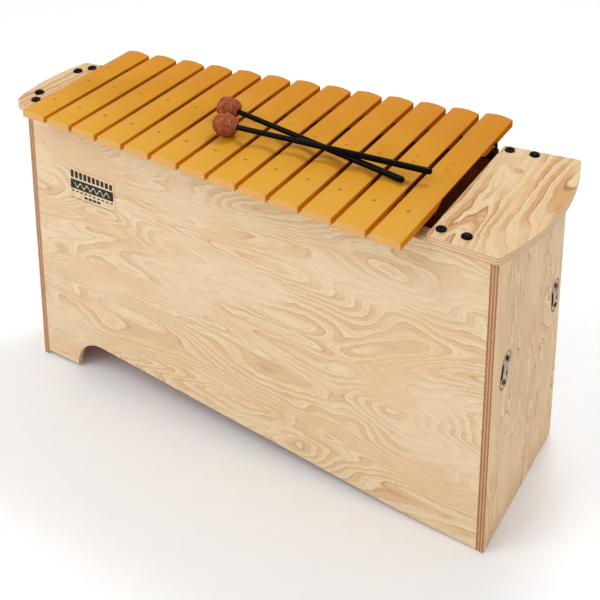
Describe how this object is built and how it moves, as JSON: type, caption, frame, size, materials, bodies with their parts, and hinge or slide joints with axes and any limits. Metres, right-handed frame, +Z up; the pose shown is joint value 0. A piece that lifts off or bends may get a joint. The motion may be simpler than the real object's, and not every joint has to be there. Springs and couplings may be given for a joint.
{
  "type": "bass xylophone",
  "caption": "Diatonic bass xylophone with removable golden bars on a tapering plywood resonator box, handle plates at both ends and a pair of yarn mallets resting on the bars.",
  "frame": {"origin": "on the floor, under the centre of the overall bounding box", "axes": "+X towards the longest, lowest bar; -Y towards the label side, where the players' front ends of the bars are; +Z up"},
  "size_m": [0.9779, 0.431, 0.5844],
  "materials": {
    "box_ply": "satin clear lacquer on pine-faced plywood",
    "handle_ply": "satin clear lacquer",
    "rail_wood": "planed softwood",
    "plug_wood": "sanded flush",
    "bar_resin": "semi-gloss amber with a faint lengthwise grain",
    "black_plastic": "moulded matte black",
    "felt": "pressed dark red felt",
    "black_fastener": "black oxide with a light sheen",
    "hanger_steel": "nickel plated",
    "badge_face": "printed foil, satin",
    "mallet_shaft": "polished black",
    "mallet_core": "matte",
    "mallet_yarn": "wound wool yarn"
  },
  "bodies": {
    "box": {"front_panel": "box_ply", "back_panel": "box_ply", "left_side_panel": "box_ply", "right_side_panel": "box_ply", "bottom_board": "box_ply", "inner_end_wall": "box_ply", "chamber_divider_1": "box_ply", "chamber_divider_2": "box_ply", "front_rail": "rail_wood", "back_rail": "rail_wood", "left_handle_plate": "handle_ply", "right_handle_plate": "handle_ply", "front_pin_strip": "black_plastic", "back_peg_strip": "black_plastic", "front_cushion": "felt", "back_cushion": "felt", "rail_bolt_right_front": "black_fastener", "rail_bolt_right_back": "black_fastener", "rail_bolt_left_front": "black_fastener", "rail_bolt_left_back": "black_fastener", "plate_screw_right_front": "black_fastener", "plate_screw_right_back": "black_fastener", "plate_screw_left_front": "black_fastener", "plate_screw_left_back": "black_fastener", "plug_front": "plug_wood", "plug_back": "plug_wood", "hanger_front": "hanger_steel", "hanger_back": "hanger_steel", "hanger_front_screw_upper": "hanger_steel", "hanger_front_screw_lower": "hanger_steel", "hanger_back_screw_upper": "hanger_steel", "hanger_back_screw_lower": "hanger_steel", "badge": "badge_face"},
    "bar_01_c": {"bar_01_c": "bar_resin"},
    "bar_02_d": {"bar_02_d": "bar_resin"},
    "bar_03_e": {"bar_03_e": "bar_resin"},
    "bar_04_f": {"bar_04_f": "bar_resin"},
    "bar_05_g": {"bar_05_g": "bar_resin"},
    "bar_06_a": {"bar_06_a": "bar_resin"},
    "bar_07_b": {"bar_07_b": "bar_resin"},
    "bar_08_c": {"bar_08_c": "bar_resin"},
    "bar_09_d": {"bar_09_d": "bar_resin"},
    "bar_10_e": {"bar_10_e": "bar_resin"},
    "bar_11_f": {"bar_11_f": "bar_resin"},
    "bar_12_g": {"bar_12_g": "bar_resin"},
    "bar_13_a": {"bar_13_a": "bar_resin"},
    "mallet_lower": {"mallet_lower_shaft": "mallet_shaft", "mallet_lower_core": "mallet_core", "mallet_lower_head": "mallet_yarn"},
    "mallet_upper": {"mallet_upper_shaft": "mallet_shaft", "mallet_upper_core": "mallet_core", "mallet_upper_head": "mallet_yarn"}
  },
  "joints": [
    {"name": "bar_01_c_strike", "type": "slide", "parent": "box", "child": "bar_01_c", "axis": [0, 0, 1], "range_m": [-0.001, 0]},
    {"name": "bar_02_d_strike", "type": "slide", "parent": "box", "child": "bar_02_d", "axis": [0, 0, 1], "range_m": [-0.001, 0]},
    {"name": "bar_03_e_strike", "type": "slide", "parent": "box", "child": "bar_03_e", "axis": [0, 0, 1], "range_m": [-0.001, 0]},
    {"name": "bar_04_f_strike", "type": "slide", "parent": "box", "child": "bar_04_f", "axis": [0, 0, 1], "range_m": [-0.001, 0]},
    {"name": "bar_05_g_strike", "type": "slide", "parent": "box", "child": "bar_05_g", "axis": [0, 0, 1], "range_m": [-0.001, 0]},
    {"name": "bar_06_a_strike", "type": "slide", "parent": "box", "child": "bar_06_a", "axis": [0, 0, 1], "range_m": [-0.001, 0]},
    {"name": "bar_07_b_strike", "type": "slide", "parent": "box", "child": "bar_07_b", "axis": [0, 0, 1], "range_m": [-0.001, 0]},
    {"name": "bar_08_c_strike", "type": "slide", "parent": "box", "child": "bar_08_c", "axis": [0, 0, 1], "range_m": [-0.001, 0]},
    {"name": "bar_09_d_lift", "type": "slide", "parent": "box", "child": "bar_09_d", "axis": [0, 0, 1], "range_m": [-0.001, 0.06]},
    {"name": "bar_10_e_lift", "type": "slide", "parent": "box", "child": "bar_10_e", "axis": [0, 0, 1], "range_m": [-0.001, 0.06]},
    {"name": "bar_11_f_lift", "type": "slide", "parent": "box", "child": "bar_11_f", "axis": [0, 0, 1], "range_m": [-0.001, 0.06]},
    {"name": "bar_12_g_lift", "type": "slide", "parent": "box", "child": "bar_12_g", "axis": [0, 0, 1], "range_m": [-0.001, 0.06]},
    {"name": "bar_13_a_lift", "type": "slide", "parent": "box", "child": "bar_13_a", "axis": [0, 0, 1], "range_m": [-0.001, 0.06]},
    {"name": "mallet_lower_lift", "type": "slide", "parent": "box", "child": "mallet_lower", "axis": [0, 0, 1], "range_m": [0, 0.12]},
    {"name": "mallet_upper_lift", "type": "slide", "parent": "mallet_lower", "child": "mallet_upper", "axis": [0, 0, 1], "range_m": [0, 0.12]}
  ]
}
